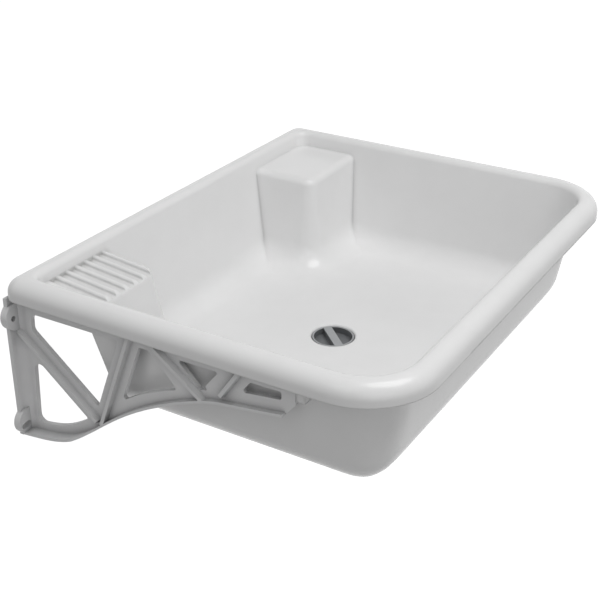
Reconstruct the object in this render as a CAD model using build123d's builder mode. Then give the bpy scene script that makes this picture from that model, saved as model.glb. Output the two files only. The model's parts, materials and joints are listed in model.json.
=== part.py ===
from build123d import *
from math import radians, tan
import os

os.makedirs("parts", exist_ok=True)

# Outdoor washbasin on two wall brackets, in millimetres. The origin is midway between the
# two upper wall holes, on the wall plane: +X right, +Y into the wall, +Z up, front towards -Y.

# Wall fixing: a round hole above and a level slot below, in each bracket
hole_inset = 6.0
hole_drop = 128.0
upper_hole_diameter = 6.0
slot_width = 7.5
slot_length = 13.0

# Basin: rolled rim and bowl
basin_width = 570.0
basin_depth = 450.0
lip_above_holes = 23.0
rim_height = 22.0
rim_width = 24.0
inner_roll_radius = 7.5
outer_roll_radius = 16.0
front_corner_radius = 75.0
back_corner_radius = 18.0
inner_corner_radius = 14.0
wall = 4.0
bowl_depth = 134.0
bowl_draft = 10.0
floor_radius = 35.0

# Soap tray in the left back corner, which falls towards the bowl and drains through its grooves
tray_length = 110.0
tray_depth = 67.0
tray_below_rim = 13.0
tray_slope = 6.0
tray_corner_radius = 14.0
tray_edge_radius = 8.0
tray_draft = 11.0
tray_thickness = 9.0
groove_count = 6
groove_pitch = 14.6
groove_width = 12.8
groove_depth = 4.6
groove_margin = 11.0
groove_back_gap = 1.5

# Section of a groove, as shares of its width and of its depth, with its slope at the edges
groove_shape = [(-0.5, 0), (-0.3, 0.74), (0, 1), (0.3, 0.74), (0.5, 0)]
groove_edge_slope = 0.35

# Block in the right back corner
block_length = 114.0
block_depth = 84.0
block_below_rim = 18.0
block_corner_radius = 12.0
block_edge_radius = 9.0
block_draft = 5.0

# Bracket: web plate, wall flange with ears, struts with ribs, lower flange
bracket_reach = 338.0
web_inset = 15.5
web_thickness = 5.0
wall_flange_thickness = 5.0
flange_inset = 2.5
flange_fillet = 9.0
ear_thickness = 8.0
ear_radius = 15.5
ear_inset = 5.3
upper_ear_rise = 1.0
lower_ear_rise = 3.5
post_top_depth = 23.5
rail_depth = 17.3
rail_tip_depth = 14.5
tip_depth = 24.0
rail_rise = 4.0
top_flange_width = 10.0
top_flange_thickness = 4.0
skirt_clearance = 1.0
rib_height = 6.0
rib_thickness = 6.4
rib_draft = 12.0
lower_flange_thickness = 3.2
wide_flange_length = 72.0
flange_taper_length = 20.0
opening_radius = 2.4
post_opening_radius = 8.0

# Side view of the bracket, as shares of its reach from the wall and of its drop from the lip,
# with each curve's slope at its two ends
lower_edge_shape = [(0, 1), (0.213, 0.911), (0.328, 0.745), (0.503, 0.497), (0.707, 0.313), (0.967, 0.228)]
lower_edge_slopes = (0.12, 0.15)
chord_shape = [
    (0.05, 0.917),
    (0.169, 0.862),
    (0.249, 0.767),
    (0.429, 0.483),
    (0.594, 0.317),
    (0.834, 0.174),
    (0.956, 0.139),
]
chord_slopes = (0.1, 0.13)

# The struts' middle lines and widths, and the line of the rib on each
strut_shape = [
    [(0.015, 0.235), (0.308, 0.73)],
    [(0.459, 0), (0.323, 0.742)],
    [(0.519, 0), (0.67, 0.328)],
    [(0.8405, 0), (0.738, 0.27)],
]
strut_widths = (24.5, 24.0, 25.0, 27.5)
rib_shape = [
    [(0, 0.21), (0.308, 0.73)],
    [(0.459, 0), (0.323, 0.742)],
    [(0.5065, 0), (0.716, 0.325)],
    [(0.841, 0), (0.763, 0.233)],
]

# Lug on the side of the bowl that keeps the arm's tip in place
lug_width = 9.5
lug_height = 20.0
lug_depth = 12.0

# Screws through each top flange into bosses under the rim, at shares of the bracket's reach
screw_shares = (0.154, 0.562, 0.917)
screw_diameter = 4.0
screw_length = 13.0
head_diameter = 7.6
head_height = 2.6
head_rounding = 1.0
drive_length = 4.2
drive_width = 0.9
drive_depth = 1.4
boss_diameter = 9.0

# Outlet neck under the floor, its plug, and the joint to the waste pipe
outlet_bore = 50.0
outlet_depth = 18.0
mouth_chamfer = 1.5
neck_wall = 4.0
shoulder_bore = 40.0
shoulder_thickness = 4.0
socket_depth = 4.0
seal_thickness = 2.5
tail_flange_thickness = 3.0
tail_diameter = 40.0
tail_wall = 3.0
tail_length = 55.0
tail_hub_wall = 1.0
tail_hub_spare = 1.0
nut_wall = 4.0
nut_height = 20.0
nut_lip = 4.0
nut_grips = 16
nut_grip_radius = 2.0
seat_clearance = 0.2
running_gap = 0.3
plug_clearance = 0.8
plug_sink = 0.8
plug_rim = 2.0
plug_edge_radius = 0.6
pocket_depth = 8.0
grip_bar_width = 10.0
grip_angle = 47.0
ring_section = 3.0
ring_above_base = 4.0

lip_z = lip_above_holes
rim_top = lip_z + rim_height
mouth_z = rim_top - inner_roll_radius
skirt_top = rim_top - outer_roll_radius
floor_z = rim_top - bowl_depth
tray_z = rim_top - tray_below_rim
block_z = rim_top - block_below_rim
mouth_half = basin_width / 2 - rim_width
mouth_radius = front_corner_radius - rim_width
outlet_y = -basin_depth / 2
outlet_r = outlet_bore / 2
shoulder_z = floor_z - outlet_depth
socket_z = shoulder_z - shoulder_thickness
neck_end_z = socket_z - socket_depth
neck_r = outlet_r + neck_wall
outlet_steps = [
    (shoulder_z, outlet_depth + wall, outlet_r),
    (socket_z, shoulder_thickness, shoulder_bore / 2),
    (neck_end_z, socket_depth, outlet_r),
]
web_outer_x = web_inset - basin_width / 2
web_inner_x = web_outer_x + web_thickness
boss_x = web_outer_x - top_flange_width / 2
rail_z = lip_z + rail_rise
rail_start = wall + skirt_clearance
post_edge_y = -post_top_depth - seat_clearance
flange_width = web_inset - flange_inset
groove_x = tray_length - groove_margin - (groove_count - 1) * groove_pitch / 2 - mouth_half
tray_rise = rim_width * tan(radians(tray_slope))
tray_plane = Plane((0, -rim_width, tray_z)).rotated((tray_slope, 0, 0))
groove_start = Plane((groove_x, -rim_width - groove_back_gap, tray_z), x_dir=(1, 0, 0), z_dir=(0, -1, 0))
groove_plane = groove_start.rotated((tray_slope, 0, 0))
hole_x = basin_width / 2 - hole_inset
ear_x = ear_inset - hole_x
lower_ear_z = lower_ear_rise - hole_drop
bracket_drop = lip_above_holes - lower_ear_z + ear_radius
screw_places = [-bracket_reach * share for share in screw_shares]
tail_r = tail_diameter / 2
tail_hub_r = tail_r + tail_hub_wall
tail_top_z = socket_z - seal_thickness
nut_base_z = tail_top_z - tail_flange_thickness - nut_lip
nut_bore_r = neck_r + seat_clearance
plug_r = outlet_r - plug_clearance
plug_top_z = floor_z - plug_sink
plug_base_z = shoulder_z + running_gap
ring_z = plug_base_z + ring_above_base
ring_outer_r = outlet_r - running_gap
lug_y = -bracket_reach - seat_clearance - lug_width / 2


def outline(inset, front_radius, back_radius):
    """Sketch of the basin's plan, drawn in by inset on every side."""
    half = basin_width / 2 - inset
    with BuildSketch() as face:
        with BuildLine():
            FilletPolyline(
                (-half, -inset),
                (-half, inset - basin_depth),
                (half, inset - basin_depth),
                (half, -inset),
                radius=[back_radius, front_radius, front_radius, back_radius],
                close=True,
            )
        make_face()
    return face.sketch


def corner_block(side, length, depth, top, corner, edge, draft, gap):
    """Block in a back corner of the bowl, drawn in by gap where the wall is moulded over it."""
    near_x = side * (mouth_half - length + gap)
    far_x = side * (mouth_half + rim_width)
    near_y = gap - rim_width - depth
    with BuildPart() as block:
        with BuildSketch(Plane.XY.offset(top - gap)):
            with Locations(((near_x + far_x) / 2, near_y / 2)):
                Rectangle(abs(far_x - near_x), -near_y)
            near_corner = vertices().sort_by_distance((near_x, near_y, top - gap))[0]
            fillet(near_corner, corner - gap)
        extrude(amount=-(top - floor_z + 2 * wall), taper=-draft)
        # On the left, the top is cut to the tray's slope
        if side < 0:
            split(bisect_by=tray_plane.offset(-gap), keep=Keep.BOTTOM)
        fillet(faces().sort_by(Axis.Z)[-1].edges(), edge - gap)
    return block.part


def bowl_form(gap):
    """The room inside the bowl, grown by gap: the room itself at 0, the outside at the wall."""
    tray_top = tray_z + tray_rise
    with BuildPart() as form:
        with BuildSketch(Plane.XY.offset(mouth_z)):
            add(outline(rim_width - gap, mouth_radius + gap, inner_corner_radius + gap))
        extrude(amount=-(mouth_z - floor_z + gap), taper=bowl_draft)
        tray = corner_block(
            -1, tray_length, tray_depth, tray_top, tray_corner_radius, tray_edge_radius, tray_draft, gap
        )
        block = corner_block(
            1, block_length, block_depth, block_z, block_corner_radius, block_edge_radius, block_draft, gap
        )
        add(tray, mode=Mode.SUBTRACT)
        add(block, mode=Mode.SUBTRACT)
        fillet(edges().group_by(Axis.Z)[0], floor_radius + gap)
    return form.part


def rolled_ring(inset, base_z):
    """Ring round the bowl's mouth with both upper edges rolled over, drawn in by inset."""
    with BuildPart() as ring:
        with BuildSketch(Plane.XY.offset(base_z)):
            add(outline(inset, front_corner_radius - inset, back_corner_radius - inset))
            mouth = outline(rim_width - inset, mouth_radius + inset, inner_corner_radius + inset)
            add(mouth, mode=Mode.SUBTRACT)
        extrude(amount=rim_top - inset - base_z)
        outside = faces().sort_by(Axis.Z)[-1].outer_wire().edges()
        fillet(outside, outer_roll_radius - inset - seat_clearance)
        inside = faces().sort_by(Axis.Z)[-1].inner_wires().edges()
        fillet(inside, inner_roll_radius - inset - seat_clearance)
    return ring.part


# The channel under the rim, round the bosses for the screws, with a pilot hole in each
with BuildPart() as rim_channel:
    add(rolled_ring(wall, lip_z))
    boss_places = [(side * boss_x, y) for side in (-1, 1) for y in screw_places]
    with BuildSketch(Plane.XY.offset(rail_z)):
        with Locations(boss_places):
            Circle(boss_diameter / 2)
            Circle(screw_diameter / 2 + seat_clearance, mode=Mode.SUBTRACT)
    extrude(amount=rim_height, mode=Mode.SUBTRACT)

# Section of a groove in the tray, from the tray's surface down
with BuildSketch() as groove_section:
    with BuildLine():
        bottom = Spline(
            *[(groove_width * across, -groove_depth * down) for across, down in groove_shape],
            tangents=[(1, -groove_edge_slope), (1, groove_edge_slope)],
        )
        Polyline(
            bottom @ 1,
            (groove_width / 2, groove_depth),
            (-groove_width / 2, groove_depth),
            bottom @ 0,
        )
    make_face()

# The rolled rim: a ring above the skirt that hangs from its outside
with BuildPart() as basin:
    add(rolled_ring(0, skirt_top))
    with BuildSketch(Plane.XY.offset(lip_z)):
        add(outline(0, front_corner_radius, back_corner_radius))
        add(outline(wall, front_corner_radius - wall, back_corner_radius - wall), mode=Mode.SUBTRACT)
    extrude(amount=skirt_top - lip_z)
    add(rim_channel.part, mode=Mode.SUBTRACT)

    # The bowl's outside, with a thicker pad under the tray and a lug for the tip of each arm
    add(bowl_form(wall))
    with BuildSketch(tray_plane.offset(-tray_thickness)):
        with Locations((groove_x, -tray_depth / 2)):
            Rectangle(groove_count * groove_pitch, tray_depth)
    extrude(amount=tray_thickness - wall / 2)
    for side in (-1, 1):
        with BuildSketch(Plane.XY.offset(lip_z)):
            with Locations((side * (web_outer_x + lug_depth / 2), lug_y)):
                Rectangle(lug_depth, lug_width)
        extrude(amount=-lug_height)

    # The room inside the bowl, and the tray's grooves, which run out of its front
    add(bowl_form(0), mode=Mode.SUBTRACT)
    with BuildSketch(groove_plane):
        with GridLocations(groove_pitch, 1, groove_count, 1):
            add(groove_section.sketch)
    extrude(amount=tray_depth + tray_edge_radius, mode=Mode.SUBTRACT)

    # Outlet: a neck below the floor, with a shoulder between the plug's seat and the pipe's socket
    with BuildSketch(Plane.XY.offset(neck_end_z)):
        with Locations((0, outlet_y)):
            Circle(neck_r)
    extrude(amount=floor_z - wall / 2 - neck_end_z)
    for base_z, height, radius in outlet_steps:
        with BuildSketch(Plane.XY.offset(base_z)):
            with Locations((0, outlet_y)):
                Circle(radius)
        extrude(amount=height, mode=Mode.SUBTRACT)
    mouth_point = (outlet_r, outlet_y, floor_z)
    chamfer(edges().filter_by(GeomType.CIRCLE).sort_by_distance(mouth_point)[0], mouth_chamfer)
basin.part.label = "basin"


def side_curve(shape, slopes, raised=0):
    """Curve in the bracket's side view, from shares of its reach and of its drop."""
    return Spline(
        *[(-bracket_reach * reach, lip_z - bracket_drop * drop + raised) for reach, drop in shape],
        tangents=[(-1, slope) for slope in slopes],
    )


def bands(shape, widths):
    """Straight bands along lines in the bracket's side view, each with its width."""
    with BuildSketch() as strips:
        for ends, width in zip(shape, widths):
            with BuildLine():
                Line([(-bracket_reach * reach, lip_z - bracket_drop * drop) for reach, drop in ends])
            trace(line_width=width)
    return strips.sketch


def round_corners(corners, radius):
    """Round upright corners of one opening, as far as its walls allow."""
    opening = solids().sort_by_distance(corners[0].center())[0]
    limit = opening.max_fillet(corners, tolerance=0.1, max_iterations=30)
    fillet(corners, min(radius, limit))


web_plane = Plane.YZ.offset(web_outer_x)

# Side view of the web: lower edge as a curve, then the arm's tip, the rail and the wall
with BuildSketch() as web_outline:
    with BuildLine():
        lower_edge = side_curve(lower_edge_shape, lower_edge_slopes)
        Polyline(
            lower_edge @ 1,
            (-bracket_reach, lip_z - tip_depth),
            (-bracket_reach, rail_z),
            (-rail_start, rail_z),
            (-rail_start, lip_z - seat_clearance),
            (0, lip_z - seat_clearance),
            lower_edge @ 0,
        )
    make_face()

# Room between post, rail and lower chord, divided by the struts into five openings
with BuildPart() as web_openings:
    with BuildSketch(web_plane):
        with BuildLine():
            chord = side_curve(chord_shape, chord_slopes)
            Polyline(
                chord @ 1,
                ((chord @ 1).X, lip_z - rail_tip_depth),
                (-post_top_depth, lip_z - rail_depth),
                chord @ 0,
            )
        make_face()
        add(bands(strut_shape, strut_widths), mode=Mode.SUBTRACT)
    extrude(amount=web_thickness)
    for middle in [opening.center() for opening in solids()]:
        corners = solids().sort_by_distance(middle)[0].edges().filter_by(Axis.X)
        post_corners = corners.filter_by_position(Axis.Y, post_edge_y, 0)
        round_corners(corners - post_corners, opening_radius)

    # Beside the post, the two openings that it borders have wider corners
    for middle in [opening.center() for opening in solids().sort_by(Axis.Y)[-2:]]:
        corners = solids().sort_by_distance(middle)[0].edges().filter_by(Axis.X)
        post_corners = corners.filter_by_position(Axis.Y, post_edge_y, 0)
        round_corners(post_corners, post_opening_radius)

# The lower flange is as wide as the wall flange at the wall and narrows to a rib along the arm
with BuildPart() as lower_flange:
    with BuildSketch(web_plane):
        with BuildLine():
            low = side_curve(lower_edge_shape, lower_edge_slopes)
            high = side_curve(lower_edge_shape, lower_edge_slopes, lower_flange_thickness)
            Line(low @ 0, high @ 0)
            Line(low @ 1, high @ 1)
        make_face()
    extrude(amount=-flange_width)
    with BuildSketch(Plane.XY.offset(lip_z - bracket_drop)):
        with BuildLine():
            Polyline(
                (web_outer_x, 0),
                (web_outer_x - flange_width, 0),
                (web_outer_x - flange_width, -wide_flange_length),
                (web_outer_x - rib_height, -wide_flange_length - flange_taper_length),
                (web_outer_x - rib_height, -bracket_reach),
                (web_outer_x, -bracket_reach),
                close=True,
            )
        make_face()
    extrude(amount=bracket_drop, mode=Mode.INTERSECT)

# The bracket: wall flange with its ears, web, ribs, and the flange that carries the rim
with BuildPart() as bracket_left:
    with BuildSketch(web_plane):
        add(web_outline.sketch)
    extrude(amount=web_thickness)
    with BuildSketch(Plane.XZ):
        with Locations((web_inner_x, lip_z - seat_clearance)):
            flange_height = bracket_drop - seat_clearance
            Rectangle(flange_width + web_thickness, flange_height, align=(Align.MAX, Align.MAX))
    extrude(amount=wall_flange_thickness)
    root = edges().filter_by(Axis.Z).sort_by_distance((web_outer_x, -wall_flange_thickness, 0))[0]
    fillet(root, flange_fillet)
    with BuildSketch(Plane.XZ):
        with Locations((ear_x, upper_ear_rise), (ear_x, lower_ear_z)):
            Circle(ear_radius)
    extrude(amount=ear_thickness)
    with BuildSketch(web_plane):
        add(bands(rib_shape, [rib_thickness] * len(rib_shape)))
        add(web_outline.sketch, mode=Mode.INTERSECT)
    extrude(amount=-rib_height, taper=rib_draft)
    add(lower_flange.part)
    with BuildSketch(Plane.XY.offset(lip_z)):
        with Locations((web_outer_x, -back_corner_radius)):
            Rectangle(top_flange_width, bracket_reach - back_corner_radius, align=(Align.MAX, Align.MAX))
    extrude(amount=top_flange_thickness)
    add(web_openings.part, mode=Mode.SUBTRACT)
    with BuildSketch(Plane.XZ):
        with Locations((-hole_x, 0)):
            Circle(upper_hole_diameter / 2)
        with Locations((-hole_x, -hole_drop)):
            SlotOverall(slot_length, slot_width)
    extrude(amount=ear_thickness + flange_fillet, mode=Mode.SUBTRACT)
    with BuildSketch(Plane.XY.offset(lip_z)):
        with Locations([(boss_x, y) for y in screw_places]):
            Circle(screw_diameter / 2 + seat_clearance)
    extrude(amount=top_flange_thickness, mode=Mode.SUBTRACT)
bracket_left.part.label = "bracket_left"

with BuildPart() as bracket_right:
    mirror(bracket_left.part, about=Plane.YZ)
bracket_right.part.label = "bracket_right"

# Pan-head screws with a cross recess, up through the top flange into the bosses
with BuildPart() as bracket_screws_left:
    screw_spots = [(boss_x, y) for y in screw_places]
    with BuildSketch(Plane.XY.offset(lip_z)):
        with Locations(screw_spots):
            Circle(head_diameter / 2)
    extrude(amount=-head_height)
    fillet(edges().group_by(Axis.Z)[0], head_rounding)
    with BuildSketch(Plane.XY.offset(lip_z - head_height)):
        with Locations(screw_spots):
            Rectangle(drive_length, drive_width)
            Rectangle(drive_width, drive_length)
    extrude(amount=drive_depth, mode=Mode.SUBTRACT)
    with BuildSketch(Plane.XY.offset(lip_z)):
        with Locations(screw_spots):
            Circle(screw_diameter / 2)
    extrude(amount=screw_length)
bracket_screws_left.part.label = "bracket_screws_left"

with BuildPart() as bracket_screws_right:
    mirror(bracket_screws_left.part, about=Plane.YZ)
bracket_screws_right.part.label = "bracket_screws_right"

# Flat seal in the neck's socket, and the tail pipe whose flange the nut presses against it
with BuildPart() as outlet_seal:
    with BuildSketch(Plane.XY.offset(socket_z)):
        with Locations((0, outlet_y)):
            Circle(outlet_r - seat_clearance)
            Circle(shoulder_bore / 2, mode=Mode.SUBTRACT)
    extrude(amount=-seal_thickness)
outlet_seal.part.label = "outlet_seal"

with BuildPart() as outlet_tail:
    with BuildSketch(Plane.XY.offset(tail_top_z)):
        with Locations((0, outlet_y)):
            Circle(outlet_r - seat_clearance)
    extrude(amount=-tail_flange_thickness)
    with BuildSketch(Plane.XY.offset(tail_top_z)):
        with Locations((0, outlet_y)):
            Circle(tail_hub_r)
    extrude(amount=-(tail_flange_thickness + nut_lip + tail_hub_spare))
    with BuildSketch(Plane.XY.offset(tail_top_z)):
        with Locations((0, outlet_y)):
            Circle(tail_r)
    extrude(amount=-tail_length)
    with BuildSketch(Plane.XY.offset(tail_top_z)):
        with Locations((0, outlet_y)):
            Circle(tail_r - tail_wall)
    extrude(amount=-tail_length, mode=Mode.SUBTRACT)
outlet_tail.part.label = "outlet_tail"

# Union nut round the neck, with an inner lip under the tail's flange and finger grips outside
with BuildPart() as union_nut:
    with BuildSketch(Plane.XY.offset(nut_base_z)):
        with Locations((0, outlet_y)):
            Circle(nut_bore_r + nut_wall)
            with PolarLocations(nut_bore_r + nut_wall, nut_grips):
                Circle(nut_grip_radius)
    extrude(amount=nut_height)
    with BuildSketch(Plane.XY.offset(nut_base_z)):
        with Locations((0, outlet_y)):
            Circle(tail_hub_r + seat_clearance)
    extrude(amount=nut_height, mode=Mode.SUBTRACT)
    with BuildSketch(Plane.XY.offset(nut_base_z + nut_lip)):
        with Locations((0, outlet_y)):
            Circle(nut_bore_r)
    extrude(amount=nut_height, mode=Mode.SUBTRACT)
union_nut.part.label = "union_nut"

# Plug: a disc with two finger pockets beside a grip bar, and a groove round it for a ring
with BuildPart() as plug:
    with BuildSketch(Plane.XY.offset(plug_base_z)):
        with Locations((0, outlet_y)):
            Circle(plug_r)
    extrude(amount=plug_top_z - plug_base_z)
    with BuildSketch(Plane.XY.offset(plug_top_z)):
        with Locations(Location((0, outlet_y), grip_angle)):
            Circle(plug_r - plug_rim)
            Rectangle(2 * plug_r, grip_bar_width, mode=Mode.SUBTRACT)
    extrude(amount=-pocket_depth, mode=Mode.SUBTRACT)
    fillet(edges().group_by(Axis.Z)[-1], plug_edge_radius)
    with BuildSketch(Plane.XY.offset(ring_z - ring_section / 2 - seat_clearance)):
        with Locations((0, outlet_y)):
            Circle(plug_r)
            Circle(ring_outer_r - ring_section - seat_clearance, mode=Mode.SUBTRACT)
    extrude(amount=ring_section + 2 * seat_clearance, mode=Mode.SUBTRACT)
plug.part.label = "plug"

with BuildPart() as plug_seal:
    with BuildSketch(Plane.XZ.offset(-outlet_y)):
        with Locations((ring_outer_r - ring_section / 2, ring_z)):
            Circle(ring_section / 2)
    revolve(axis=Axis((0, outlet_y, 0), (0, 0, 1)))
plug_seal.part.label = "plug_seal"

export_step(basin.part, "parts/basin.step")
export_step(bracket_left.part, "parts/bracket_left.step")
export_step(bracket_right.part, "parts/bracket_right.step")
export_step(bracket_screws_left.part, "parts/bracket_screws_left.step")
export_step(bracket_screws_right.part, "parts/bracket_screws_right.step")
export_step(outlet_seal.part, "parts/outlet_seal.step")
export_step(outlet_tail.part, "parts/outlet_tail.step")
export_step(union_nut.part, "parts/union_nut.step")
export_step(plug.part, "parts/plug.step")
export_step(plug_seal.part, "parts/plug_seal.step")
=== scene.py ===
import json
import math

import bmesh
import bpy
from mathutils import Matrix, Vector

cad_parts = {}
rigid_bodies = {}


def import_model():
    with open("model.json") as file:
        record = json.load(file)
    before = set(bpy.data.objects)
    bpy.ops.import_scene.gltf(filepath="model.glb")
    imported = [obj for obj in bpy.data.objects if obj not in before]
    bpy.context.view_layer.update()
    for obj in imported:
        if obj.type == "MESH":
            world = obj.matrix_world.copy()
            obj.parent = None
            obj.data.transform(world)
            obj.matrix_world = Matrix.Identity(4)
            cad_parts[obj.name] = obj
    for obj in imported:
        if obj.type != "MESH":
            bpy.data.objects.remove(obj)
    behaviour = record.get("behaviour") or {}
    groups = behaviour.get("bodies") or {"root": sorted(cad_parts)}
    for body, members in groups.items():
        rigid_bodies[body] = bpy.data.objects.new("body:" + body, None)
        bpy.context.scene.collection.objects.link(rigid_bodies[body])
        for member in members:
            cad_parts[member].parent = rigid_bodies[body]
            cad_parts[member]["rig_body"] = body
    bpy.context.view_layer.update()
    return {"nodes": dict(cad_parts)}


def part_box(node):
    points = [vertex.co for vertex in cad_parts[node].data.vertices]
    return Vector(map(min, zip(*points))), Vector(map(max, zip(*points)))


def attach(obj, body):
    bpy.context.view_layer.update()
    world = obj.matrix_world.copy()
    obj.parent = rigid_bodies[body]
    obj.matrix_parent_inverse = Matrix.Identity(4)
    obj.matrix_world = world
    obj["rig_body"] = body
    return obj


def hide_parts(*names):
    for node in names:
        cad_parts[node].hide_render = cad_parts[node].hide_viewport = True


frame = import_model()
scene = bpy.context.scene
print("frame loaded:", len(frame["nodes"]), "nodes")


def hexColour(code):
    # sRGB hex to linear RGBA
    shares = [int(code[i:i + 2], 16) / 255 for i in (1, 3, 5)]
    linear = [c / 12.92 if c <= 0.04045 else ((c + 0.055) / 1.055) ** 2.4 for c in shares]
    return (*linear, 1.0)


def addNode(tree, kind, settings=None, inputs=None):
    # adds a node, sets its properties, and sets or links its inputs by name or by place
    node = tree.nodes.new(kind)
    for name, value in (settings or {}).items():
        setattr(node, name, value)
    for name, value in (inputs or {}).items():
        if isinstance(value, bpy.types.NodeSocket):
            tree.links.new(value, node.inputs[name])
        else:
            node.inputs[name].default_value = value
    return node


def newMaterial(name):
    # an empty principled material, and the place on the piece that its patterns read
    material = bpy.data.materials.new(name)
    material.use_nodes = True
    tree = material.node_tree
    tree.nodes.clear()
    shader = addNode(tree, "ShaderNodeBsdfPrincipled")
    addNode(tree, "ShaderNodeOutputMaterial", inputs={"Surface": shader.outputs["BSDF"]})
    place = addNode(tree, "ShaderNodeTexCoord").outputs["Object"]
    return material, tree, shader, place


def perSize(millimetres):
    # scale of a noise whose features are this wide
    return 1000 / millimetres


# the photograph's viewpoint: metres and degrees, and mm for the lens and the sensor
view = {"place": (-1.0112, -0.7881, 0.5518), "yaw": 31.001, "pitch": 27.229, "roll": 0.087,
        "lens": 68.876, "sensor": 36, "nearest": 0.01, "farthest": 50}


def makeCamera(v):
    yaw, pitch, roll = (math.radians(v[k]) for k in ("yaw", "pitch", "roll"))
    run = math.cos(pitch)
    ahead = Vector((math.cos(yaw) * run, math.sin(yaw) * run, -math.sin(pitch)))
    level = Vector((math.sin(yaw), -math.cos(yaw), 0))
    raised = level.cross(ahead)
    across = level * math.cos(roll) + raised * math.sin(roll)
    up = raised * math.cos(roll) - level * math.sin(roll)
    data = bpy.data.cameras.new("camera")
    data.lens, data.sensor_width = v["lens"], v["sensor"]
    data.clip_start, data.clip_end = v["nearest"], v["farthest"]
    camera = bpy.data.objects.new("camera", data)
    turned = Matrix((across, up, -ahead)).transposed().to_4x4()
    camera.matrix_world = Matrix.Translation(v["place"]) @ turned
    scene.collection.objects.link(camera)
    scene.camera = camera


makeCamera(view)
print("camera set")


# Polypropylene, injection moulded, sizes in mm. "wave" is the slow unevenness that the cooling
# leaves, "grain" the mould's skin, "rough" the least and the most roughness, and "edge" how far
# the mould's corners are eased. "corner" is painted shade: the colour laid where walls close
# round a spot, within "cornerReach" of it. The tray lies left of and above "trayFrom", X and Z:
# its grooves are sharper, and their painted shade is darker still. On the plug, the faces above a
# set height are painted paler, a painted light on its top over the shaded pockets.
basinLook = {"colour": "#F3F3F3", "shade": "#EEEEEE", "rough": (0.18, 0.26),
             "wave": 38, "waveDepth": 0.05, "grain": 2.2, "grainDepth": 0.006, "edge": 5.0,
             "corner": "#DCDCDC", "cornerReach": 9,
             "trayFrom": (-145, 20), "trayBorder": 4, "trayEdge": 2.6, "trayShadeColour": "#C4C4C3"}
bracketLook = {"colour": "#F0F0F0", "shade": "#E8E8E9", "rough": (0.38, 0.46),
               "wave": 22, "waveDepth": 0.04, "grain": 1.6, "grainDepth": 0.012, "edge": 0.6,
               "corner": "#9C9C9D", "cornerReach": 13}
pipeLook = {"colour": "#DCDCDA", "shade": "#D2D2CF", "rough": (0.32, 0.4),
            "wave": 16, "waveDepth": 0.03, "grain": 1.4, "grainDepth": 0.01, "edge": 0.6}
plugLook = {"colour": "#77797B", "shade": "#6A6C6E", "rough": (0.36, 0.44),
            "wave": 14, "waveDepth": 0.03, "grain": 1.2, "grainDepth": 0.012, "edge": 0.5,
            "paintedLight": "#A4A6A8", "paintedLightFrom": -90.9, "paintedLightFull": -90.4}
paintedShadeFrom, paintedShadeFull = 0.95, 0.3  # how open a spot is where the painted shade begins, and where it is darkest


def trayArea(tree, look, spot):
    # 1 on the tray and 0 elsewhere, with a soft border
    aside, above = (limit / 1000 for limit in look["trayFrom"])
    border = look["trayBorder"] / 1000
    left = addNode(tree, "ShaderNodeMapRange", inputs={
        "Value": spot["X"], "From Min": aside + border, "From Max": aside})
    high = addNode(tree, "ShaderNodeMapRange", inputs={
        "Value": spot["Z"], "From Min": above - border, "From Max": above})
    return addNode(tree, "ShaderNodeMath", {"operation": "MULTIPLY"}, {
        0: left.outputs["Result"], 1: high.outputs["Result"]}).outputs[0]


def tonesAndPaintedLight(tree, look, wave, spot, tray):
    # the plastic's two tones, and over them painted shade in corners, darker in the tray's
    # grooves, and a painted light on the plug's top faces
    tint = addNode(tree, "ShaderNodeMix", {"data_type": "RGBA"}, {
        "Factor": wave, 6: hexColour(look["colour"]), 7: hexColour(look["shade"])}).outputs[2]
    if "corner" in look:
        # painted shade: the plastic is darkened where ambient occlusion finds walls close round
        # the spot
        openness = addNode(tree, "ShaderNodeAmbientOcclusion", {"samples": 8}, {
            "Distance": look["cornerReach"] / 1000}).outputs["AO"]
        shadeInCorners = addNode(tree, "ShaderNodeMapRange", inputs={
            "Value": openness, "From Min": paintedShadeFrom, "From Max": paintedShadeFull}).outputs["Result"]
        tint = addNode(tree, "ShaderNodeMix", {"data_type": "RGBA"}, {
            "Factor": shadeInCorners, 6: tint, 7: hexColour(look["corner"])}).outputs[2]
    if tray is not None:
        # painted shade: on the tray the corner shade is darkened further, in its grooves
        shadeInTray = addNode(tree, "ShaderNodeMath", {"operation": "MULTIPLY"}, {0: tray, 1: shadeInCorners})
        tint = addNode(tree, "ShaderNodeMix", {"data_type": "RGBA"}, {
            "Factor": shadeInTray.outputs[0], 6: tint, 7: hexColour(look["trayShadeColour"])}).outputs[2]
    if "paintedLight" in look:
        # painted light: the plug's faces above a set height are painted paler than the pockets
        # below them, which stand in shade
        paintedTopLight = addNode(tree, "ShaderNodeMapRange", inputs={
            "Value": spot["Z"], "From Min": look["paintedLightFrom"] / 1000,
            "From Max": look["paintedLightFull"] / 1000}).outputs["Result"]
        tint = addNode(tree, "ShaderNodeMix", {"data_type": "RGBA"}, {
            "Factor": paintedTopLight, 6: tint, 7: hexColour(look["paintedLight"])}).outputs[2]
    return tint


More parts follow.
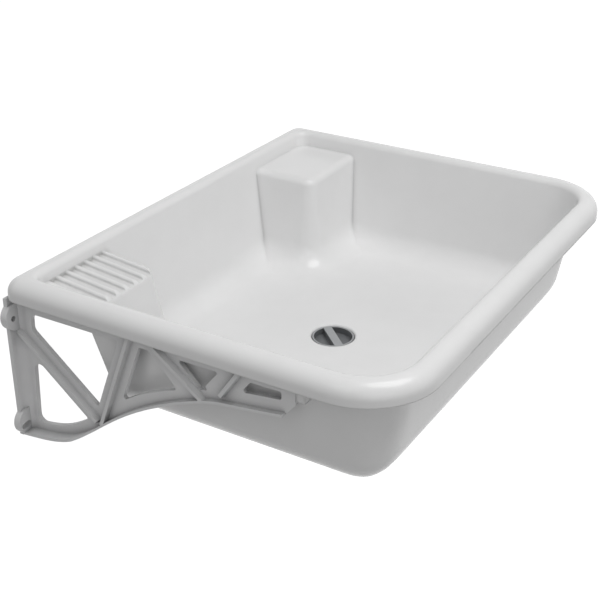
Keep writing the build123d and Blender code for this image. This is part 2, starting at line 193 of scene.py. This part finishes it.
def mouldedPolypropylene(name, look):
    # a soft wide gloss that wavers a little; the grain is drawn coarser than its real 0.3 mm
    material, tree, shader, place = newMaterial(name)
    spot = addNode(tree, "ShaderNodeSeparateXYZ", inputs={"Vector": place}).outputs
    wave = addNode(tree, "ShaderNodeTexNoise", inputs={
        "Vector": place, "Scale": perSize(look["wave"]), "Detail": 2.0}).outputs["Fac"]
    skin = addNode(tree, "ShaderNodeTexNoise", inputs={
        "Vector": place, "Scale": perSize(look["grain"]), "Detail": 2.0}).outputs["Fac"]
    tray = trayArea(tree, look, spot) if "trayFrom" in look else None
    tree.links.new(tonesAndPaintedLight(tree, look, wave, spot, tray), shader.inputs["Base Color"])
    least, most = look["rough"]
    gloss = addNode(tree, "ShaderNodeMapRange", inputs={
        "Value": wave, "To Min": least, "To Max": most})
    tree.links.new(gloss.outputs["Result"], shader.inputs["Roughness"])
    shader.inputs["IOR"].default_value = 1.49
    eased = addNode(tree, "ShaderNodeBevel", {"samples": 6}, {"Radius": look["edge"] / 1000})
    if tray is not None:
        ease = addNode(tree, "ShaderNodeMapRange", inputs={
            "Value": tray, "To Min": look["edge"] / 1000, "To Max": look["trayEdge"] / 1000})
        tree.links.new(ease.outputs["Result"], eased.inputs["Radius"])
    slow = addNode(tree, "ShaderNodeBump", inputs={
        "Height": wave, "Distance": look["waveDepth"] / 1000, "Normal": eased.outputs["Normal"]})
    fine = addNode(tree, "ShaderNodeBump", inputs={
        "Height": skin, "Distance": look["grainDepth"] / 1000, "Normal": slow.outputs["Normal"]})
    tree.links.new(fine.outputs["Normal"], shader.inputs["Normal"])
    return material


sealLook = {"colour": "#1B1B1C", "bloom": "#2C2C2D", "bloomSize": 9, "rough": (0.54, 0.72),
            "grain": 0.9, "grainDepth": 0.02}


def mouldedRubber(look):
    # EPDM, pressed: matt black with a faint grey bloom, so it swallows the light round the plug
    material, tree, shader, place = newMaterial("pressedRubber")
    cloud = addNode(tree, "ShaderNodeTexNoise", inputs={
        "Vector": place, "Scale": perSize(look["bloomSize"]), "Detail": 5.0}).outputs["Fac"]
    tint = addNode(tree, "ShaderNodeMix", {"data_type": "RGBA"}, {
        "Factor": cloud, 6: hexColour(look["colour"]), 7: hexColour(look["bloom"])})
    tree.links.new(tint.outputs[2], shader.inputs["Base Color"])
    least, most = look["rough"]
    gloss = addNode(tree, "ShaderNodeMapRange", inputs={
        "Value": cloud, "To Min": least, "To Max": most})
    tree.links.new(gloss.outputs["Result"], shader.inputs["Roughness"])
    skin = addNode(tree, "ShaderNodeTexNoise", inputs={
        "Vector": place, "Scale": perSize(look["grain"])})
    bump = addNode(tree, "ShaderNodeBump", inputs={
        "Height": skin.outputs["Fac"], "Distance": look["grainDepth"] / 1000})
    tree.links.new(bump.outputs["Normal"], shader.inputs["Normal"])
    return material


zincLook = {"colour": "#C9CCCE", "dull": "#AEB3B8", "patch": 3, "rough": (0.22, 0.42),
            "lines": 2.5133, "lineDepth": 0.006}


def zincPlatedSteel(look):
    # steel, rolled thread, bright zinc: a cool metal with cloudy patches and turned lines,
    # which are drawn coarser than the real 0.4 mm
    material, tree, shader, place = newMaterial("zincPlatedSteel")
    shader.inputs["Metallic"].default_value = 1.0
    cloud = addNode(tree, "ShaderNodeTexNoise", inputs={
        "Vector": place, "Scale": perSize(look["patch"]), "Detail": 3.0}).outputs["Fac"]
    tint = addNode(tree, "ShaderNodeMix", {"data_type": "RGBA"}, {
        "Factor": cloud, 6: hexColour(look["colour"]), 7: hexColour(look["dull"])})
    tree.links.new(tint.outputs[2], shader.inputs["Base Color"])
    least, most = look["rough"]
    gloss = addNode(tree, "ShaderNodeMapRange", inputs={
        "Value": cloud, "To Min": least, "To Max": most})
    tree.links.new(gloss.outputs["Result"], shader.inputs["Roughness"])
    turnsPerScale = 20 / math.tau  # bands in a metre of a wave texture of scale 1
    turned = addNode(tree, "ShaderNodeTexWave", {"bands_direction": "Z"}, {
        "Vector": place, "Scale": perSize(look["lines"]) / turnsPerScale, "Distortion": 0.4})
    bump = addNode(tree, "ShaderNodeBump", inputs={
        "Height": turned.outputs["Fac"], "Distance": look["lineDepth"] / 1000})
    tree.links.new(bump.outputs["Normal"], shader.inputs["Normal"])
    return material


basinPlastic = mouldedPolypropylene("glossMouldedPolypropylene", basinLook)
bracketPlastic = mouldedPolypropylene("satinMouldedPolypropylene", bracketLook)
pipePlastic = mouldedPolypropylene("pipeMouldedPolypropylene", pipeLook)
plugPlastic = mouldedPolypropylene("greyMouldedPolypropylene", plugLook)
sealRubber = mouldedRubber(sealLook)
screwSteel = zincPlatedSteel(zincLook)
print("materials made")


def takePlace(piece, node):
    # the piece stands for the node and moves with its body
    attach(piece, frame["nodes"][node]["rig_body"])
    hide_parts(node)


def bakeModifiers(piece):
    bpy.context.view_layer.update()
    seen = piece.evaluated_get(bpy.context.evaluated_depsgraph_get())
    mesh = bpy.data.meshes.new_from_object(seen)
    piece.modifiers.clear()
    piece.data = mesh


# the pieces that keep their node's form; an edge turned more than "sharp" degrees stays sharp
shells = {"basin": {"material": basinPlastic, "slot": "basin", "sharp": 28},
          "bracket_left": {"material": bracketPlastic, "slot": "bracket", "sharp": 28},
          "bracket_right": {"material": bracketPlastic, "slot": "bracket", "sharp": 28},
          "outlet_seal": {"material": sealRubber, "slot": "seal", "sharp": 35},
          "outlet_tail": {"material": pipePlastic, "slot": "pipe", "sharp": 35},
          "plug": {"material": plugPlastic, "slot": "plug", "sharp": 35},
          "plug_seal": {"material": sealRubber, "slot": "seal", "sharp": 60}}
sameSpot = 1e-6  # metres: vertices this near to each other are joined
broadFaces = 80  # how much more the broad faces count in a vertex's normal


def smoothShell(node, s):
    # a copy of the node's mesh, its loose triangles joined and shaded smooth
    mesh = frame["nodes"][node].data.copy()
    form = bmesh.new()
    form.from_mesh(mesh)
    bmesh.ops.remove_doubles(form, verts=form.verts, dist=sameSpot)
    for face in form.faces:
        face.smooth = True
    for edge in form.edges:
        edge.smooth = edge.is_manifold and edge.calc_face_angle(0) < math.radians(s["sharp"])
    form.to_mesh(mesh)
    form.free()
    mesh.materials.clear()
    mesh.materials.append(s["material"])
    piece = bpy.data.objects.new(node + "Shell", mesh)
    scene.collection.objects.link(piece)
    evened = piece.modifiers.new("evened", "WEIGHTED_NORMAL")
    evened.keep_sharp, evened.weight = True, broadFaces
    bakeModifiers(piece)
    takePlace(piece, node)


for node, shell in shells.items():
    smoothShell(node, shell)
print("basin, brackets, outlet and plug dressed")


def newTree(name, inputs):
    # geometry tree with a geometry input and output, and the named inputs
    tree = bpy.data.node_groups.new(name, "GeometryNodeTree")
    tree.interface.new_socket("Geometry", in_out="INPUT", socket_type="NodeSocketGeometry")
    tree.interface.new_socket("Geometry", in_out="OUTPUT", socket_type="NodeSocketGeometry")
    for label, kind in inputs.items():
        tree.interface.new_socket(label, in_out="INPUT", socket_type=kind)
    return tree, addNode(tree, "NodeGroupInput").outputs


def finishTree(tree, made, finish):
    # instances made real, in one material
    real = addNode(tree, "GeometryNodeRealizeInstances", inputs={"Geometry": made})
    coated = addNode(tree, "GeometryNodeSetMaterial", inputs={
        "Geometry": real.outputs[0], "Material": finish})
    addNode(tree, "NodeGroupOutput", inputs={"Geometry": coated.outputs[0]})


def growPiece(name, mesh, tree, values):
    # the tree grown on the mesh and made a plain mesh
    piece = bpy.data.objects.new(name, mesh)
    scene.collection.objects.link(piece)
    grown = piece.modifiers.new(tree.name, "NODES")
    grown.node_group = tree
    sockets = {s.name: s.identifier for s in tree.interface.items_tree if s.in_out == "INPUT"}
    for label, value in values.items():
        grown[sockets[label]] = value
    bakeModifiers(piece)
    return piece


def turnedMesh(name, profile, steps, sharp, place=(0, 0, 0)):
    # a closed section, radius and height in mm, turned round the Z axis
    form = bmesh.new()
    points = [form.verts.new((radius / 1000, 0, height / 1000)) for radius, height in profile]
    edges = [form.edges.new((a, b)) for a, b in zip(points, points[1:] + points[:1])
             if a.co.x > 0 or b.co.x > 0]
    bmesh.ops.spin(form, geom=points + edges, axis=(0, 0, 1), cent=(0, 0, 0), steps=steps,
                   angle=math.tau)
    bmesh.ops.remove_doubles(form, verts=form.verts, dist=sameSpot)
    bmesh.ops.recalc_face_normals(form, faces=form.faces)
    bmesh.ops.translate(form, verts=form.verts, vec=place)
    for face in form.faces:
        face.smooth = True
    for edge in form.edges:
        edge.smooth = edge.calc_face_angle(0) < math.radians(sharp)
    mesh = bpy.data.meshes.new(name)
    form.to_mesh(mesh)
    form.free()
    return mesh


# Pan-head screws, mm. Their heads hang under the top flange, at "places" from the wall.
# "headShape" is in shares of the head's radius and height, from its middle up to its seat, and
# "point" says how far along the shank's end begins to narrow, and to what share. The cross must
# not meet the head's turning lines at 45 degrees, so "steps" is no multiple of 8.
screws = {"places": (52.05, 189.96, 309.95), "head": 7.6, "headHeight": 2.6,
          "headShape": ((0, 1), (0.42, 1), (0.68, 0.93), (0.88, 0.74), (0.98, 0.45), (1, 0.2),
                        (0.98, 0)),
          "shank": 4.0, "length": 13.0, "point": (0.8, 0.35), "steps": 36, "sharp": 30,
          "crossLength": 4.2, "crossWidth": 0.95, "crossStart": 0.2, "crossDepth": 1.5,
          "crossEnd": 0.45, "seed": 7}


def crossMesh(s, face):
    # what the cross recess takes away: its four arms grow shorter inwards from the head's face
    form = bmesh.new()
    rings = []
    for share, height in ((1, face - s["crossStart"]), (s["crossEnd"], face + s["crossDepth"])):
        reach, half = s["crossLength"] / 2 * share, s["crossWidth"] / 2
        arm = [Vector((x, y, height)) / 1000
               for x, y in ((reach, -half), (reach, half), (half, half))]
        quarters = [Matrix.Rotation(turn * math.pi / 2, 3, "Z") for turn in range(4)]
        rings.append([form.verts.new(quarter @ corner) for quarter in quarters for corner in arm])
    mouth, end = rings
    form.faces.new(mouth)
    form.faces.new(end)
    for a, b, c, d in zip(mouth, mouth[1:] + mouth[:1], end[1:] + end[:1], end):
        form.faces.new((a, b, c, d))
    bmesh.ops.recalc_face_normals(form, faces=form.faces)
    mesh = bpy.data.meshes.new("cross")
    form.to_mesh(mesh)
    form.free()
    return mesh


def makeScrew(s):
    # head downwards, under its seat at z = 0
    head, face, shank, tip = s["head"] / 2, -s["headHeight"], s["shank"] / 2, s["length"]
    narrowFrom, narrowTo = s["point"]
    profile = [(head * wide, face * deep) for wide, deep in s["headShape"]]
    profile += [(shank, 0), (shank, tip * narrowFrom), (shank * narrowTo, tip), (0, tip)]
    mesh = turnedMesh("screw", profile, s["steps"], s["sharp"])
    screw = bpy.data.objects.new("screw", mesh)
    cutter = bpy.data.objects.new("cross", crossMesh(s, face))
    scene.collection.objects.link(screw)
    scene.collection.objects.link(cutter)
    recess = screw.modifiers.new("recess", "BOOLEAN")
    recess.operation, recess.object = "DIFFERENCE", cutter
    bakeModifiers(screw)
    bpy.data.objects.remove(cutter)
    return screw


def screwRowTree():
    # a screw on each point, each stopped at its own turn
    tree, values = newTree("screwRow", {
        "Screw": "NodeSocketObject", "Widest Turn": "NodeSocketFloat",
        "Seed": "NodeSocketInt", "Finish": "NodeSocketMaterial"})
    screw = addNode(tree, "GeometryNodeObjectInfo", inputs={"Object": values["Screw"]})
    turn = addNode(tree, "FunctionNodeRandomValue", {"data_type": "FLOAT"}, {
        "Seed": values["Seed"]})
    tree.links.new(values["Widest Turn"], turn.inputs[3])
    about = addNode(tree, "ShaderNodeCombineXYZ", inputs={"Z": turn.outputs[1]})
    row = addNode(tree, "GeometryNodeInstanceOnPoints", inputs={
        "Points": values["Geometry"], "Instance": screw.outputs["Geometry"],
        "Rotation": about.outputs["Vector"]})
    finishTree(tree, row.outputs["Instances"], values["Finish"])
    return tree


screw = makeScrew(screws)
screwTree = screwRowTree()
for side in ("left", "right"):
    node = "bracket_screws_" + side
    low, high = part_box(node)
    middle, seat = (low[0] + high[0]) / 2, low[2] + screws["headHeight"] / 1000
    points = bpy.data.meshes.new(node)
    points.from_pydata([(middle, -y / 1000, seat) for y in screws["places"]], [], [])
    row = growPiece("screws_" + side, points, screwTree, {
        "Screw": screw, "Widest Turn": math.tau, "Seed": screws["seed"] + len(side),
        "Finish": screwSteel})
    takePlace(row, node)
bpy.data.objects.remove(screw)
print("screws made")


# union nut, mm: a turned body round the neck, with finger grips round it
nut = {"outer": 33.2, "bore": 29.2, "lipBore": 21.2, "lip": 4.0, "height": 20.0, "chamfer": 1.0,
       "steps": 96, "sharp": 30, "grips": 16, "gripRadius": 2.0, "gripEnd": 0.6, "gripSides": 20}


def nutGripTree():
    # upright round bars at even turns, standing on the given point of the axis
    tree, values = newTree("nutGrips", {
        "Grip Count": "NodeSocketInt", "Ring Radius": "NodeSocketFloat",
        "Grip Radius": "NodeSocketFloat", "Grip Height": "NodeSocketFloat",
        "Grip Sides": "NodeSocketInt", "Middle": "NodeSocketVector",
        "Finish": "NodeSocketMaterial"})
    ring = addNode(tree, "GeometryNodeMeshCircle", inputs={
        "Vertices": values["Grip Count"], "Radius": values["Ring Radius"]})
    bar = addNode(tree, "GeometryNodeMeshCylinder", {"fill_type": "NGON"}, {
        "Vertices": values["Grip Sides"], "Radius": values["Grip Radius"],
        "Depth": values["Grip Height"]})
    smooth = addNode(tree, "GeometryNodeSetShadeSmooth", inputs={
        "Geometry": bar.outputs["Mesh"], "Selection": bar.outputs["Side"]})
    grips = addNode(tree, "GeometryNodeInstanceOnPoints", inputs={
        "Points": ring.outputs["Mesh"], "Instance": smooth.outputs["Geometry"]})
    moved = addNode(tree, "GeometryNodeTransform", inputs={
        "Geometry": grips.outputs["Instances"], "Translation": values["Middle"]})
    joined = addNode(tree, "GeometryNodeJoinGeometry")
    tree.links.new(moved.outputs["Geometry"], joined.inputs["Geometry"])
    tree.links.new(values["Geometry"], joined.inputs["Geometry"])
    finishTree(tree, joined.outputs["Geometry"], values["Finish"])
    return tree


def makeNut(n):
    low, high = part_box("union_nut")
    middle = [(a + b) / 2 for a, b in zip(low, high)]
    outer, bore, lipBore, top, ease = (
        n[k] for k in ("outer", "bore", "lipBore", "height", "chamfer"))
    profile = [(lipBore, 0), (outer - ease, 0), (outer, ease), (outer, top - ease),
               (outer - ease, top), (bore, top), (bore, n["lip"]), (lipBore, n["lip"])]
    foot = (middle[0], middle[1], low[2])
    body = turnedMesh("unionNut", profile, n["steps"], n["sharp"], foot)
    piece = growPiece("unionNut", body, nutGripTree(), {
        "Grip Count": n["grips"], "Ring Radius": outer / 1000,
        "Grip Radius": n["gripRadius"] / 1000, "Grip Height": (top - 2 * n["gripEnd"]) / 1000,
        "Grip Sides": n["gripSides"], "Middle": middle, "Finish": pipePlastic})
    takePlace(piece, "union_nut")


makeNut(nut)
print("union nut made")


# Plain pale room: the eye and the gloss see it white, while the light that it gives stays low.
# Metres; the lamps are soft discs that face "aim", the bowl's middle.
studio = {"floorZ": -1.25, "floorSize": 14.0, "floorCells": 8, "floor": "#A0A0A0",
          "floorRough": 0.95, "floorGloss": 0.1, "floorGlow": 0.92, "air": 0.31,
          "aim": (0, -0.22, 0)}
lamps = {"keyLamp": {"place": (0.0, -1.02, 1.84), "size": 1.4, "power": 19.0},
         "sideLamp": {"place": (-1.4, -0.22, 1.4), "size": 1.2, "power": 2.5},
         "fillLamp": {"place": (-1.4, -1.62, 0.3), "size": 1.4, "power": 3.5}}
white = hexColour("#FFFFFF")


def seenRay(tree):
    # 1 where the camera, a mirror image or a clear material looks, else 0
    path = addNode(tree, "ShaderNodeLightPath").outputs
    some = addNode(tree, "ShaderNodeMath", {"operation": "MAXIMUM"}, {
        0: path["Is Camera Ray"], 1: path["Is Glossy Ray"]})
    return addNode(tree, "ShaderNodeMath", {"operation": "MAXIMUM"}, {
        0: some.outputs[0], 1: path["Is Transmission Ray"]}).outputs[0]


def makeFloor(s):
    # matt paint, rolled
    form = bmesh.new()
    cells = s["floorCells"]
    bmesh.ops.create_grid(form, x_segments=cells, y_segments=cells, size=s["floorSize"] / 2)
    bmesh.ops.translate(form, verts=form.verts, vec=(0, 0, s["floorZ"]))
    mesh = bpy.data.meshes.new("floor")
    form.to_mesh(mesh)
    form.free()
    floor = bpy.data.objects.new("floor", mesh)
    scene.collection.objects.link(floor)
    material, tree, shader = newMaterial("paintedFloor")[:3]
    shader.inputs["Base Color"].default_value = hexColour(s["floor"])
    shader.inputs["Roughness"].default_value = s["floorRough"]
    shader.inputs["Specular IOR Level"].default_value = s["floorGloss"]
    shader.inputs["Emission Color"].default_value = white
    glow = addNode(tree, "ShaderNodeMath", {"operation": "MULTIPLY"}, {
        0: seenRay(tree), 1: s["floorGlow"]})
    tree.links.new(glow.outputs[0], shader.inputs["Emission Strength"])
    mesh.materials.append(material)


def makeAir(s):
    # white to the eye, dim as a light
    world = bpy.data.worlds.new("studioAir")
    scene.world = world
    world.use_nodes = True
    tree = world.node_tree
    tree.nodes.clear()
    dim = addNode(tree, "ShaderNodeBackground", inputs={"Color": white, "Strength": s["air"]})
    bright = addNode(tree, "ShaderNodeBackground", inputs={"Color": white, "Strength": 1.0})
    either = addNode(tree, "ShaderNodeMixShader", inputs={
        0: seenRay(tree), 1: dim.outputs["Background"], 2: bright.outputs["Background"]})
    addNode(tree, "ShaderNodeOutputWorld", inputs={"Surface": either.outputs["Shader"]})


def addLamp(name, lamp, aim):
    data = bpy.data.lights.new(name, "AREA")
    data.shape, data.size, data.energy = "DISK", lamp["size"], lamp["power"]
    piece = bpy.data.objects.new(name, data)
    piece.location = lamp["place"]
    towards = Vector(aim) - Vector(lamp["place"])
    piece.rotation_euler = towards.to_track_quat("-Z", "Y").to_euler()
    scene.collection.objects.link(piece)


makeFloor(studio)
makeAir(studio)
for name, lamp in lamps.items():
    addLamp(name, lamp, studio["aim"])
scene.view_settings.view_transform = "Standard"
print("studio ready")
